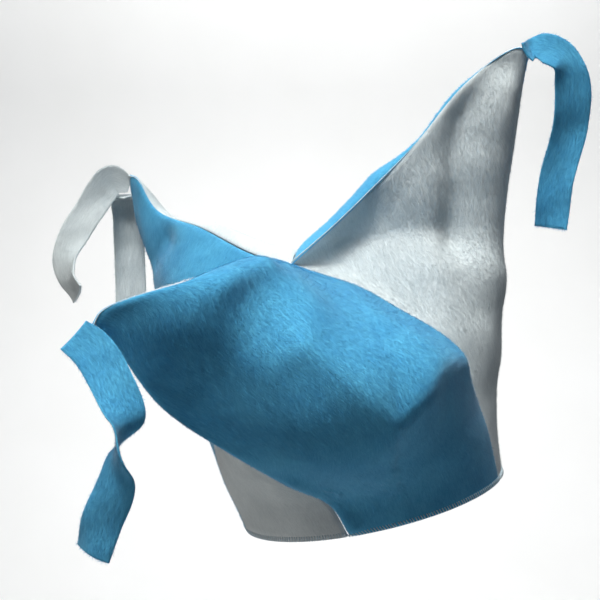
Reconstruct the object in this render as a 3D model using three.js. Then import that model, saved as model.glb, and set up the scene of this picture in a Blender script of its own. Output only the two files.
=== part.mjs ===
// A soft jester hat with three floppy horns, sewn from six panels of fleece.
// Each horn is one blue and one white panel, and fleece ribbons are sewn into the horn tips.
// The hat is modelled as worn: its brim hangs a little lower on one side, and the ribbons hang plumb.
// The origin is the middle of the head opening, +Z is up and the front horn points to -Y and -X.
import * as THREE from "three";

// Driving dimensions, in millimetres and degrees
const FLEECE = 2;
const SEAM_GAP = 0.3;
const BRIM_HALF_WIDTH = 95;
const BRIM_HALF_DEPTH = 80;
const WORN_TILT = 13;
const TIP_RADIUS = 8;
const RIBBON_WIDTH = 25;
const RIBBON_CUP = 1.5;

// How finely the cloth is divided: across a panel, up a panel, along a ribbon and across a ribbon
const PANEL_ACROSS = 20;
const PANEL_UP = 20;
const RIBBON_STEPS = 24;
const RIBBON_ACROSS = 2;
// Divisions crowd towards a horn's two seams by this power, so that its rounded tip is drawn well
const CROWDING = 1.35;
// A seam's inner edge reaches at most this many cloth thicknesses inwards
const MITRE_LIMIT = 2;
// Walls in a narrow tip take at most this share of the space between the horn's two panels
const TIP_WALL_SHARE = 0.36;
// A panel is fully swollen from this share of its width onwards, and folds die away over this share
const FULL_ACROSS = 0.5;
const FOLD_FADE = 0.1;
// Where two seams meet in a corner, the panels' step clear of them is lengthened as for this at the sharpest
const CORNER_LIMIT = 0.3;

const BLUE = { color: 0x4fa3d8, roughness: 0.95, metalness: 0 };
const WHITE = { color: 0xe8eef0, roughness: 0.95, metalness: 0 };

// The point on top where all six panels meet
const CROWN = new THREE.Vector3(-20, 0, 179);

// Each horn: where its under seam leaves the brim, its tip, and the heading and rise in which that points
const HORNS = {
  front: { brimDeg: 257, tip: new THREE.Vector3(-139, -150, 183), heading: 215, rise: 0 },
  right: { brimDeg: 30, tip: new THREE.Vector3(179, 15, 287), heading: 0, rise: 22 },
  back: { brimDeg: 140, tip: new THREE.Vector3(-136, 140, 267), heading: 135, rise: 65 },
};

// Each valley between two horns: where its seam leaves the brim
const VALLEYS = {
  front_right: { brimDeg: -20 },
  right_back: { brimDeg: 85 },
  back_front: { brimDeg: 190 },
};

// Points that a seam passes on its way, from the brim or the crown outwards
const SEAM_POINTS = [
  { seam: "front ridge", x: -48, y: -70, z: 191 },
  { seam: "front ridge", x: -81, y: -130, z: 195 },
  { seam: "front under", x: -30, y: -86, z: 28 },
  { seam: "front under", x: -64, y: -103, z: 61 },
  { seam: "front under", x: -114, y: -128, z: 121 },
  { seam: "right ridge", x: 20, y: 3, z: 200 },
  { seam: "right ridge", x: 77, y: 8, z: 236 },
  { seam: "right ridge", x: 130, y: 12, z: 276 },
  { seam: "right under", x: 97, y: 44, z: 60 },
  { seam: "right under", x: 124, y: 40, z: 130 },
  { seam: "right under", x: 154, y: 27, z: 220 },
  { seam: "back ridge", x: -47, y: 30, z: 190 },
  { seam: "back ridge", x: -82, y: 70, z: 215 },
  { seam: "back ridge", x: -118, y: 115, z: 236 },
  { seam: "back under", x: -80, y: 72, z: 60 },
  { seam: "back under", x: -114, y: 112, z: 140 },
  { seam: "back under", x: -138, y: 140, z: 219 },
  { seam: "front_right valley", x: 86, y: -42, z: 50 },
  { seam: "front_right valley", x: 69, y: -46, z: 102 },
  { seam: "front_right valley", x: 28, y: -24, z: 150 },
  { seam: "right_back valley", x: 10, y: 88, z: 60 },
  { seam: "right_back valley", x: 2, y: 64, z: 130 },
  { seam: "right_back valley", x: -13, y: 24, z: 183 },
  { seam: "back_front valley", x: -102, y: -17, z: 60 },
  { seam: "back_front valley", x: -80, y: -12, z: 130 },
];

// Each panel lies between a valley and its horn's seams. swell is how far it bulges, and fullAt is how
// high up the panel, as a share of its height, it reaches that
const PANELS = [
  { node: "front_horn_blue", finish: BLUE, horn: "front", valley: "front_right", swell: 34, fullAt: 0.5 },
  { node: "front_horn_white", finish: WHITE, horn: "front", valley: "back_front", swell: 22, fullAt: 0.9 },
  { node: "right_horn_white", finish: WHITE, horn: "right", valley: "front_right", swell: 28, fullAt: 0.7 },
  { node: "right_horn_blue", finish: BLUE, horn: "right", valley: "right_back", swell: 30, fullAt: 0.6 },
  { node: "back_horn_blue", finish: BLUE, horn: "back", valley: "back_front", swell: 24, fullAt: 0.9 },
  { node: "back_horn_white", finish: WHITE, horn: "back", valley: "right_back", swell: 28, fullAt: 0.6 },
];

// Each fold runs over its panel from (u0, v0) to (u1, v1), where u goes from the valley to the horn's
// under seam and v from the brim to the ridge. A negative depth is a dent or crease, and width is how
// far it fades out to either side
const FOLDS = [
  // The flat top beside the valley, whose edge turns down into the flank in a wide V
  { node: "front_horn_blue", u0: 0.48, v0: 0.66, u1: 0.55, v1: 0.42, width: 28, depth: 8 },
  { node: "front_horn_blue", u0: 0.55, v0: 0.42, u1: 0.2, v1: 0.4, width: 24, depth: 5 },
  // The flank, which falls straight from the ridge
  { node: "front_horn_blue", u0: 0.52, v0: 0.89, u1: 0.66, v1: 0.84, width: 28, depth: -10 },
  { node: "front_horn_blue", u0: 0.8, v0: 0.66, u1: 0.84, v1: 0.52, width: 28, depth: -8 },
  // The white panel behind it, which draws in along the horn's seams
  { node: "front_horn_white", u0: 0.3, v0: 0.94, u1: 0.6, v1: 0.94, width: 12, depth: -5 },
  { node: "front_horn_white", u0: 0.93, v0: 0.35, u1: 0.93, v1: 0.6, width: 10, depth: -3 },
  // The pocket under the ridge of the tall horn, with the standing fold beside it
  { node: "right_horn_white", u0: 0.17, v0: 0.95, u1: 0.45, v1: 0.73, width: 26, depth: -8 },
  { node: "right_horn_white", u0: 0.73, v0: 0.93, u1: 0.53, v1: 0.63, width: 16, depth: 5 },
  { node: "right_horn_white", u0: 0.53, v0: 0.63, u1: 0.38, v1: 0.43, width: 16, depth: 4 },
  // The dent beside the far horn's neck
  { node: "back_horn_blue", u0: 0.66, v0: 0.92, u1: 0.76, v1: 0.84, width: 14, depth: -5 },
  // The backs of two ridges, which stand a little higher than the seams
  { node: "right_horn_blue", u0: 0.05, v0: 0.92, u1: 0.35, v1: 0.95, width: 15, depth: 3 },
  { node: "back_horn_white", u0: 0.05, v0: 0.92, u1: 0.5, v1: 0.95, width: 15, depth: 4 },
  // The far horn's white panel, which shows beside its tip
  { node: "back_horn_white", u0: 0.78, v0: 0.92, u1: 0.93, v1: 0.93, width: 14, depth: 8 },
  // Soft hanging folds at the back
  { node: "right_horn_blue", u0: 0.62, v0: 0.9, u1: 0.45, v1: 0.45, width: 20, depth: -8 },
  { node: "back_horn_white", u0: 0.55, v0: 0.85, u1: 0.5, v1: 0.45, width: 20, depth: -6 },
];

// The ribbons. Each is sewn to its horn's under seam, so far below the tip, and clear is how far its middle
// keeps from the seam there. hold is the place across its end that is sewn: 0 is the middle and 1 a corner.
// neck is its share of the full width there
const RIBBONS = [
  { node: "front_ribbon", finish: BLUE, horn: "front", below: 0, clear: 2.35, hold: 0.85, neck: 0.9 },
  { node: "right_ribbon", finish: BLUE, horn: "right", below: 0, clear: 0.4, hold: 0, neck: 0.6 },
  { node: "back_ribbon_outer", finish: WHITE, horn: "back", below: 9, clear: 0, hold: 0, neck: 0.5 },
  { node: "back_ribbon_hanging", finish: WHITE, horn: "back", below: 20, clear: 0.3, hold: 0, neck: 0.5 },
];

// Each ribbon's middle line as it hangs, from its horn's tip. The width of the ribbon points along turn,
// a heading, and rises by lean, both in degrees
const RIBBON_LINES = [
  { node: "front_ribbon", x: 2, y: -10, z: -13, turn: 10, lean: 30 },
  { node: "front_ribbon", x: 15, y: -24, z: -29, turn: 18, lean: 26 },
  { node: "front_ribbon", x: 25, y: -38, z: -49, turn: 50, lean: 12 },
  { node: "front_ribbon", x: 21, y: -41, z: -67, turn: 110, lean: 0 },
  { node: "front_ribbon", x: 20, y: -38, z: -83, turn: 150, lean: 0 },
  { node: "front_ribbon", x: 10, y: -35, z: -108, turn: 160, lean: 10 },
  { node: "front_ribbon", x: 4, y: -33, z: -128, turn: 150, lean: 5 },
  { node: "right_ribbon", x: 10, y: 0, z: 1, turn: 90, lean: 60 },
  { node: "right_ribbon", x: 23, y: -2, z: -6, turn: 45, lean: 50 },
  { node: "right_ribbon", x: 29, y: -2, z: -21, turn: 5, lean: 15 },
  { node: "right_ribbon", x: 29, y: 0, z: -53, turn: 0, lean: 0 },
  { node: "right_ribbon", x: 21, y: 3, z: -90, turn: -30, lean: -5 },
  { node: "right_ribbon", x: 17, y: 3, z: -126, turn: -35, lean: 0 },
  { node: "back_ribbon_outer", x: -14, y: 2, z: -5, turn: 0, lean: -70 },
  { node: "back_ribbon_outer", x: -23, y: -2, z: -15, turn: -10, lean: -48 },
  { node: "back_ribbon_outer", x: -30, y: -8, z: -27, turn: -20, lean: -34 },
  { node: "back_ribbon_outer", x: -41, y: -18, z: -45, turn: -25, lean: -30 },
  { node: "back_ribbon_outer", x: -48, y: -30, z: -66, turn: -40, lean: -10 },
  { node: "back_ribbon_outer", x: -45, y: -39, z: -80, turn: -50, lean: 0 },
  { node: "back_ribbon_outer", x: -36, y: -46, z: -93, turn: -55, lean: 15 },
  { node: "back_ribbon_hanging", x: -4, y: 13, z: -20, turn: 20, lean: 0 },
  { node: "back_ribbon_hanging", x: -3, y: 12, z: -36, turn: 15, lean: 0 },
  { node: "back_ribbon_hanging", x: -2, y: 9, z: -55, turn: 10, lean: 0 },
  { node: "back_ribbon_hanging", x: 0, y: 0, z: -94, turn: 0, lean: 0 },
  { node: "back_ribbon_hanging", x: 2, y: -16, z: -153, turn: 15, lean: 0 },
];

// A point on the brim at a heading
function brimPoint(degrees) {
  const angle = THREE.MathUtils.degToRad(degrees);
  return new THREE.Vector3(BRIM_HALF_WIDTH * Math.cos(angle), BRIM_HALF_DEPTH * Math.sin(angle), 0);
}

// The smooth curve of a seam between two ends, by way of its points in the table
function seamCurve(name, start, end, lastPoints = []) {
  const via = SEAM_POINTS.filter((row) => row.seam === name);
  const points = via.map((row) => new THREE.Vector3(row.x, row.y, row.z));
  return new THREE.CatmullRomCurve3([start, ...points, ...lastPoints, end], false, "centripetal");
}

// A unit direction from its heading and its rise
function direction(heading, rise) {
  const around = THREE.MathUtils.degToRad(heading);
  const up = THREE.MathUtils.degToRad(rise);
  return new THREE.Vector3(Math.cos(up) * Math.cos(around), Math.cos(up) * Math.sin(around), Math.sin(up));
}

// The direction in which a horn points at its tip, and the direction across it there, towards its ridge
function tipFrame(hornName) {
  const lastPoint = (part) => SEAM_POINTS.findLast((row) => row.seam === `${hornName} ${part}`);
  const along = direction(HORNS[hornName].heading, HORNS[hornName].rise);
  const across = new THREE.Vector3().subVectors(lastPoint("ridge"), lastPoint("under"));
  across.projectOnPlane(along).normalize();
  return { along, across };
}

// A horn's ridge and under seams, which run round the blunt tip and meet at its middle
function hornSeams(hornName) {
  const { brimDeg, tip } = HORNS[hornName];
  const { along, across } = tipFrame(hornName);
  const shoulder = (side) =>
    tip.clone().addScaledVector(along, -TIP_RADIUS).addScaledVector(across, side * TIP_RADIUS);
  return {
    ridge: seamCurve(`${hornName} ridge`, CROWN, tip, [shoulder(1)]),
    under: seamCurve(`${hornName} under`, brimPoint(brimDeg), tip, [shoulder(-1)]),
  };
}

const hornCurves = {};
for (const name of Object.keys(HORNS)) {
  hornCurves[name] = hornSeams(name);
}
const valleyCurves = {};
for (const [name, valley] of Object.entries(VALLEYS)) {
  valleyCurves[name] = seamCurve(`${name} valley`, brimPoint(valley.brimDeg), CROWN);
}

// The share of a panel's width or height at a division, crowded towards the horn's seams
function division(index, count) {
  return 1 - (1 - index / count) ** CROWDING;
}

// The heading along the brim, and its sense, from a panel's valley to its horn's seam
function brimSpan(panel) {
  const start = VALLEYS[panel.valley].brimDeg;
  const turn = HORNS[panel.horn].brimDeg - start;
  const sweep = THREE.MathUtils.euclideanModulo(turn + 180, 360) - 180;
  return { start, sweep, sense: Math.sign(sweep) };
}

// The unswollen panel: a smooth patch stretched between its brim, two seams and ridge
function patchPoint(panel, u, v) {
  const { start, sweep } = brimSpan(panel);
  const { ridge, under } = hornCurves[panel.horn];
  const valley = valleyCurves[panel.valley];
  const point = new THREE.Vector3();
  point.addScaledVector(valley.getPointAt(v), 1 - u);
  point.addScaledVector(under.getPointAt(v), u);
  point.addScaledVector(brimPoint(start + sweep * u), 1 - v);
  point.addScaledVector(ridge.getPointAt(u), v);
  point.addScaledVector(brimPoint(start), -(1 - u) * (1 - v));
  point.addScaledVector(brimPoint(start + sweep), -u * (1 - v));
  point.addScaledVector(CROWN, -(1 - u) * v);
  point.addScaledVector(HORNS[panel.horn].tip, -u * v);
  return point;
}

// A round profile that leaves a seam squarely: 0 at the seam and 1 far from it
function roundProfile(x) {
  return Math.sqrt(x * (2 - x));
}

// How far a panel swells at (u, v): nothing at its brim and seams, most in its middle
function swelling(panel, u, v) {
  const round = roundProfile(1 - u) * roundProfile(1 - v);
  const settle =
    THREE.MathUtils.smoothstep(u, 0, FULL_ACROSS) * THREE.MathUtils.smoothstep(v, 0, panel.fullAt);
  return panel.swell * round * settle;
}

// How far a fold keeps its depth at (u, v): it dies away in the seams and at the brim
function seamFade(u, v) {
  const nearest = Math.min(u, v, 1 - u, 1 - v);
  return roundProfile(Math.min(1, nearest / FOLD_FADE));
}

// How far the folds of a panel lift or sink it at a point of its patch
function foldLift(panel, point) {
  let lift = 0;
  for (const fold of FOLDS.filter((row) => row.node === panel.node)) {
    const line = new THREE.Line3(
      patchPoint(panel, fold.u0, fold.v0),
      patchPoint(panel, fold.u1, fold.v1),
    );
    const nearest = line.closestPointToPoint(point, true, new THREE.Vector3());
    const away = nearest.distanceTo(point) / fold.width;
    lift += fold.depth * Math.exp(-away * away);
  }
  return lift;
}

// A table of points or vectors, one for each division across and up
function makeGrid(across, up, make) {
  const columns = [];
  for (let i = 0; i <= across; i += 1) {
    const column = [];
    for (let j = 0; j <= up; j += 1) {
      column.push(make(i, j));
    }
    columns.push(column);
  }
  return columns;
}

// The outward direction at each point of a grid
function gridNormals(grid, sense) {
  const lastI = grid.length - 1;
  const lastJ = grid[0].length - 1;
  return makeGrid(lastI, lastJ, (i, j) => {
    const du = grid[Math.min(i + 1, lastI)][j].clone().sub(grid[Math.max(i - 1, 0)][j]);
    const dv = grid[i][Math.min(j + 1, lastJ)].clone().sub(grid[i][Math.max(j - 1, 0)]);
    return du.cross(dv).multiplyScalar(sense).normalize();
  });
}

// The outer face of a panel, with its swelling and folds
function outerFace(panel) {
  const { sense } = brimSpan(panel);
  const patch = makeGrid(PANEL_ACROSS, PANEL_UP, (i, j) =>
    patchPoint(panel, division(i, PANEL_ACROSS), division(j, PANEL_UP)),
  );
  const normals = gridNormals(patch, sense);
  return makeGrid(PANEL_ACROSS, PANEL_UP, (i, j) => {
    const u = division(i, PANEL_ACROSS);
    const v = division(j, PANEL_UP);
    const lift = swelling(panel, u, v) + seamFade(u, v) * foldLift(panel, patch[i][j]);
    return patch[i][j].clone().addScaledVector(normals[i][j], lift);
  });
}

// The name of the seam point at a division, the same for every panel that is sewn there
function seamPointName(panel, i, j) {
  if (j === PANEL_UP && i === 0) {
    return "crown";
  }
  if (j === PANEL_UP && i === PANEL_ACROSS) {
    return `${panel.horn} tip`;
  }
  if (j === PANEL_UP) {
    return `${panel.horn} ridge ${i}`;
  }
  if (i === PANEL_ACROSS) {
    return `${panel.horn} under ${j}`;
  }
  return i === 0 ? `${panel.valley} valley ${j}` : "";
}

// The directions along the seams that pass through a panel's edge point, with the panel's side of each
function seamSides(face, i, j) {
  const sides = [];
  if (i === 0 || i === PANEL_ACROSS) {
    const tangent = face[i][Math.min(j + 1, PANEL_UP)].clone().sub(face[i][Math.max(j - 1, 0)]);
    sides.push({ tangent, inside: face[i === 0 ? 1 : i - 1][j] });
  }
  if (j === PANEL_UP) {
    const tangent = face[Math.min(i + 1, PANEL_ACROSS)][j].clone().sub(face[Math.max(i - 1, 0)][j]);
    sides.push({ tangent, inside: face[i][j - 1] });
  }
  return sides;
}

// The step that takes a panel's edge point half a seam gap clear of the neighbouring panels
function seamStep(face, i, j, outward) {
  const steps = seamSides(face, i, j).map(({ tangent, inside }) => {
    const side = tangent.cross(outward).normalize();
    const inwards = inside.clone().sub(face[i][j]);
    return side.multiplyScalar(Math.sign(side.dot(inwards)));
  });
  const sum = new THREE.Vector3();
  for (const step of steps) {
    sum.add(step);
  }
  const sharpness = steps.length === 2 ? 1 + steps[0].dot(steps[1]) : 1;
  return sum.multiplyScalar(SEAM_GAP / 2 / Math.max(sharpness, CORNER_LIMIT));
}

const faces = new Map();
const faceNormals = new Map();
const seamNormals = new Map();
for (const panel of PANELS) {
  const face = outerFace(panel);
  const normals = gridNormals(face, brimSpan(panel).sense);
  faces.set(panel.node, face);
  faceNormals.set(panel.node, normals);
  for (let i = 0; i <= PANEL_ACROSS; i += 1) {
    for (let j = 0; j <= PANEL_UP; j += 1) {
      const name = seamPointName(panel, i, j);
      if (name) {
        const known = seamNormals.get(name) ?? [];
        seamNormals.set(name, [...known, normals[i][j]]);
      }
    }
  }
}

// The outward direction at a seam point, shared by the panels sewn there, and the wall's depth along it
function seamMitre(name) {
  const normals = seamNormals.get(name);
  const outward = new THREE.Vector3();
  for (const normal of normals) {
    outward.add(normal);
  }
  outward.normalize();
  const hornName = name.split(" ")[0];
  if (name.endsWith(" tip")) {
    outward.copy(tipFrame(hornName).along);
  }
  const square = Math.min(...normals.map((normal) => normal.dot(outward)));
  return { outward, depth: FLEECE / Math.max(square, 1 / MITRE_LIMIT) };
}

// The closed skin of a sheet of cloth between its outer and inner faces
function sheetGeometry(outer, inner, sense) {
  const lastI = outer.length - 1;
  const lastJ = outer[0].length - 1;
  const corners = [...outer.flat(), ...inner.flat()];
  const outerAt = (i, j) => i * (lastJ + 1) + j;
  const innerAt = (i, j) => outerAt(i, j) + (lastI + 1) * (lastJ + 1);
  const index = [];
  const quad = (a, b, c, d) => {
    const shortFirst = corners[a].distanceTo(corners[c]) <= corners[b].distanceTo(corners[d]);
    const triangles = shortFirst ? [a, b, c, a, c, d] : [a, b, d, b, c, d];
    index.push(...(sense > 0 ? triangles : triangles.reverse()));
  };
  for (let i = 0; i < lastI; i += 1) {
    for (let j = 0; j < lastJ; j += 1) {
      quad(outerAt(i, j), outerAt(i + 1, j), outerAt(i + 1, j + 1), outerAt(i, j + 1));
      quad(innerAt(i, j), innerAt(i, j + 1), innerAt(i + 1, j + 1), innerAt(i + 1, j));
    }
    quad(innerAt(i, 0), innerAt(i + 1, 0), outerAt(i + 1, 0), outerAt(i, 0));
    quad(outerAt(i, lastJ), outerAt(i + 1, lastJ), innerAt(i + 1, lastJ), innerAt(i, lastJ));
  }
  for (let j = 0; j < lastJ; j += 1) {
    quad(outerAt(0, j), outerAt(0, j + 1), innerAt(0, j + 1), innerAt(0, j));
    quad(innerAt(lastI, j), innerAt(lastI, j + 1), outerAt(lastI, j + 1), outerAt(lastI, j));
  }
  const geometry = new THREE.BufferGeometry().setFromPoints(corners);
  geometry.setIndex(index);
  geometry.computeVertexNormals();
  return geometry;
}

// One panel of the hat, as a wall of cloth
function panelMesh(panel) {
  const face = faces.get(panel.node);
  const normals = faceNormals.get(panel.node);
  const twin = PANELS.find((other) => other.horn === panel.horn && other.node !== panel.node);
  const twinFace = faces.get(twin.node);
  const outer = makeGrid(PANEL_ACROSS, PANEL_UP, (i, j) => face[i][j].clone());
  const inner = makeGrid(PANEL_ACROSS, PANEL_UP, (i, j) => {
    const name = seamPointName(panel, i, j);
    if (name) {
      const { outward, depth } = seamMitre(name);
      outer[i][j].add(seamStep(face, i, j, outward));
      return outer[i][j].clone().addScaledVector(outward, -depth);
    }
    const room = TIP_WALL_SHARE * face[i][j].distanceTo(twinFace[i][j]);
    return face[i][j].clone().addScaledVector(normals[i][j], -Math.min(FLEECE, room));
  });
  const geometry = sheetGeometry(outer, inner, brimSpan(panel).sense);
  const mesh = new THREE.Mesh(geometry, new THREE.MeshStandardMaterial(panel.finish));
  mesh.name = panel.node;
  return mesh;
}

const worn = new THREE.Group();
worn.rotation.y = THREE.MathUtils.degToRad(-WORN_TILT);
for (const panel of PANELS) {
  worn.add(panelMesh(panel));
}
worn.updateMatrixWorld(true);

// Where a ribbon is sewn in, a seam gap clear of its horn
function ribbonRoot(ribbon) {
  const { under } = hornCurves[ribbon.horn];
  const { along, across } = tipFrame(ribbon.horn);
  const root = under.getPointAt(1 - ribbon.below / under.getLength());
  root.addScaledVector(ribbon.below > 0 ? across.negate() : along, ribbon.clear);
  return worn.localToWorld(root);
}

// One ribbon, a narrow strip of the same cloth that starts at the tip of its horn
function ribbonMesh(ribbon) {
  const rows = RIBBON_LINES.filter((row) => row.node === ribbon.node);
  const tip = worn.localToWorld(HORNS[ribbon.horn].tip.clone());
  const halfWidths = rows.map((row) => direction(row.turn, row.lean).multiplyScalar(RIBBON_WIDTH / 2));
  halfWidths.unshift(halfWidths[0].clone().multiplyScalar(ribbon.neck));
  const points = rows.map((row) => new THREE.Vector3(row.x, row.y, row.z).add(tip));
  points.unshift(ribbonRoot(ribbon).addScaledVector(halfWidths[0], -ribbon.hold));
  const middle = new THREE.CatmullRomCurve3(points, false, "centripetal");
  const widths = new THREE.CatmullRomCurve3(halfWidths, false, "catmullrom");
  const outer = makeGrid(RIBBON_ACROSS, RIBBON_STEPS, () => new THREE.Vector3());
  const inner = makeGrid(RIBBON_ACROSS, RIBBON_STEPS, () => new THREE.Vector3());
  for (let j = 0; j <= RIBBON_STEPS; j += 1) {
    const t = j / RIBBON_STEPS;
    const tangent = middle.getTangent(t);
    const halfWidth = widths.getPoint(t);
    const across = halfWidth.clone().projectOnPlane(tangent).setLength(halfWidth.length());
    const facing = across.clone().cross(tangent).normalize();
    for (let i = 0; i <= RIBBON_ACROSS; i += 1) {
      const side = (2 * i) / RIBBON_ACROSS - 1;
      const point = middle.getPoint(t).addScaledVector(across, side);
      point.addScaledVector(facing, RIBBON_CUP * (1 - side * side));
      outer[i][j].copy(point).addScaledVector(facing, FLEECE / 2);
      inner[i][j].copy(point).addScaledVector(facing, -FLEECE / 2);
    }
  }
  const mesh = new THREE.Mesh(
    sheetGeometry(outer, inner, 1),
    new THREE.MeshStandardMaterial(ribbon.finish),
  );
  mesh.name = ribbon.node;
  return mesh;
}

const hat = new THREE.Group();
hat.add(worn);
for (const ribbon of RIBBONS) {
  hat.add(ribbonMesh(ribbon));
}

export default hat;
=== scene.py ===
"""The looks of a soft jester hat, sewn from six fleece panels into three floppy horns.

The panels follow the same seams as the solids, drawn finer, with sharper folds, the lying nap of the fleece
and the overlocked raw edge of the brim. Sizes are in millimetres until a mesh is made, and then in metres.
The studio is in metres throughout.
"""

import logging
import math
from dataclasses import dataclass, field
from enum import Enum

import bpy
import numpy as np
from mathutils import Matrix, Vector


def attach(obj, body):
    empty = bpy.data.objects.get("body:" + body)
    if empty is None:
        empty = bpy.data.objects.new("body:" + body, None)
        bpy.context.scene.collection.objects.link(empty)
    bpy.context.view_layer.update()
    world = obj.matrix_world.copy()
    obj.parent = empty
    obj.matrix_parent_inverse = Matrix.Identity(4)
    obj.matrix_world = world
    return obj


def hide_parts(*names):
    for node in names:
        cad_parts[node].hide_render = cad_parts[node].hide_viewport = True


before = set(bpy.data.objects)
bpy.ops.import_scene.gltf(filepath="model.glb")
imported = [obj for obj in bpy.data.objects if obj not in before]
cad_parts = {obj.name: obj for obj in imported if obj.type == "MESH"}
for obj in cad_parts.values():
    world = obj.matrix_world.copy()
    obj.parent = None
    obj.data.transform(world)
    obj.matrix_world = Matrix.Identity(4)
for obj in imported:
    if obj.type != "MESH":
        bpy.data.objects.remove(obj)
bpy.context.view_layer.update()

LOG = logging.getLogger("jester_hat")

MM = 0.001
MM_PER_METRE = 1000
TINY = 1e-9
SEED = 20

# The hat's main sizes, the same as in the solids' source.
FLEECE = 2.0
SEAM_GAP = 0.3
BRIM_HALF_WIDTH = 95.0
BRIM_HALF_DEPTH = 80.0
WORN_TILT = 13.0
TIP_RADIUS = 8.0
CROWN = np.array([-20.0, 0.0, 179.0])

# How a spline's spans are timed: by the root of their length, or all alike.
BY_ROOT_LENGTH = 0.5
ALIKE = 0.0

# The numbered sockets of a Mix node that blends colours.
MIX_SHARE, MIX_FIRST, MIX_SECOND, MIX_RESULT = 0, 6, 7, 2

Point = tuple[float, float, float]


class Cloth(Enum):
    """The two fleeces of the hat, named as the record's material slots."""

    BLUE = "blue_fleece"
    WHITE = "white_fleece"


class Hold(Enum):
    """How a sheet of cloth is held."""

    DRAPED = "draped"
    HUNG = "hung"


class FoldForm(Enum):
    """The cross-section of a fold: rounded all over, or with a sharp line along its middle."""

    SOFT = "soft"
    CREASE = "crease"


class HornName(Enum):
    """The three horns."""

    FRONT = "front"
    RIGHT = "right"
    BACK = "back"


class ValleyName(Enum):
    """The three valleys between neighbouring horns."""

    FRONT_RIGHT = "front_right"
    RIGHT_BACK = "right_back"
    BACK_FRONT = "back_front"


def linear(hex_colour: str) -> tuple[float, float, float, float]:
    """Turns an sRGB hex colour into linear light.

    Args:
        hex_colour: Six hex digits after a #.

    Returns:
        Red, green, blue and an alpha of 1.
    """
    parts = [int(hex_colour[k : k + 2], 16) / 255 for k in (1, 3, 5)]
    red, green, blue = (c / 12.92 if c <= 0.04045 else ((c + 0.055) / 1.055) ** 2.4 for c in parts)
    return red, green, blue, 1.0


def add_node(tree: bpy.types.NodeTree, kind: str, settings: dict, links: dict) -> bpy.types.Node:
    """Adds one node with its settings and links.

    Args:
        tree: The material's or world's node tree.
        kind: The node's type name.
        settings: Values for properties, or for input sockets by name or number.
        links: The output socket that feeds each input socket, by its name or number.

    Returns:
        The new node.
    """
    node = tree.nodes.new(kind)
    for name, value in settings.items():
        if isinstance(name, int) or name in node.inputs:
            node.inputs[name].default_value = value
        else:
            setattr(node, name, value)
    for name, source in links.items():
        tree.links.new(source, node.inputs[name])
    return node


def blank_material(name: str) -> bpy.types.Material:
    """A new material without nodes."""
    material = bpy.data.materials.new(name)
    material.use_nodes = True
    material.node_tree.nodes.clear()
    return material


def add_patches(
    tree: bpy.types.NodeTree, size: float, detail: float, roughness: float = 0.5,
) -> bpy.types.NodeSocket:
    """Adds soft uneven patches, fixed to the piece.

    Args:
        tree: The material's node tree.
        size: About how large a patch is, in millimetres.
        detail: How many finer layers it has.
        roughness: How much these count.

    Returns:
        The socket with the patches' value.
    """
    coords = add_node(tree, "ShaderNodeTexCoord", {}, {})
    noise = add_node(
        tree, "ShaderNodeTexNoise",
        {"Scale": MM_PER_METRE / size, "Detail": detail, "Roughness": roughness},
        {"Vector": coords.outputs["Object"]},
    )
    return noise.outputs["Fac"]


def add_blend(
    tree: bpy.types.NodeTree, share: bpy.types.NodeSocket, first: str, second: str,
) -> bpy.types.NodeSocket:
    """Adds a blend of two colours.

    Args:
        tree: The material's node tree.
        share: The socket with the second colour's share.
        first: The first colour in sRGB hex.
        second: The second colour in sRGB hex.

    Returns:
        The socket with the blend.
    """
    blend = add_node(
        tree, "ShaderNodeMix",
        {"data_type": "RGBA", MIX_FIRST: linear(first), MIX_SECOND: linear(second)},
        {MIX_SHARE: share},
    )
    return blend.outputs[MIX_RESULT]


def add_shader(
    tree: bpy.types.NodeTree, colour: bpy.types.NodeSocket, settings: dict,
) -> bpy.types.Node:
    """Adds a material's shader and its output.

    Args:
        tree: The material's node tree.
        colour: The socket that gives its colour.
        settings: Values for the shader's sockets by name.

    Returns:
        The shader node.
    """
    shader = add_node(tree, "ShaderNodeBsdfPrincipled", settings, {"Base Color": colour})
    add_node(tree, "ShaderNodeOutputMaterial", {}, {"Surface": shader.outputs["BSDF"]})
    return shader


def add_object(name: str, data: bpy.types.ID) -> bpy.types.Object:
    """Puts a mesh, light or camera into the scene as a new object."""
    thing = bpy.data.objects.new(name, data)
    bpy.context.scene.collection.objects.link(thing)
    return thing


def smooth_mesh(name: str, points: np.ndarray, faces: np.ndarray) -> bpy.types.Mesh:
    """A smoothly shaded mesh in metres, from points in millimetres and faces."""
    mesh = bpy.data.meshes.new(name)
    mesh.from_pydata((points * MM).tolist(), [], faces.tolist())
    mesh.shade_smooth()
    return mesh


def smoothstep(x: np.ndarray, low: float, high: float) -> np.ndarray:
    """The smooth step from 0 at low to 1 at high."""
    t = np.clip((x - low) / (high - low), 0, 1)
    return t * t * (3 - 2 * t)


def unit(vectors: np.ndarray) -> np.ndarray:
    """The vectors at length 1."""
    return vectors / np.maximum(np.linalg.norm(vectors, axis=-1, keepdims=True), TINY)


def heading_vector(heading: float, rise: float) -> np.ndarray:
    """The unit direction of a heading and a rise, both in degrees."""
    around, up = math.radians(heading), math.radians(rise)
    return np.array([math.cos(up) * math.cos(around), math.cos(up) * math.sin(around), math.sin(up)])


def worn(points: np.ndarray) -> np.ndarray:
    """Tilts points of the upright hat as it is worn, low on one side."""
    angle = math.radians(WORN_TILT)
    c, s = math.cos(angle), math.sin(angle)
    return points @ np.array([[c, 0, -s], [0, 1, 0], [s, 0, c]]).T


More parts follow.
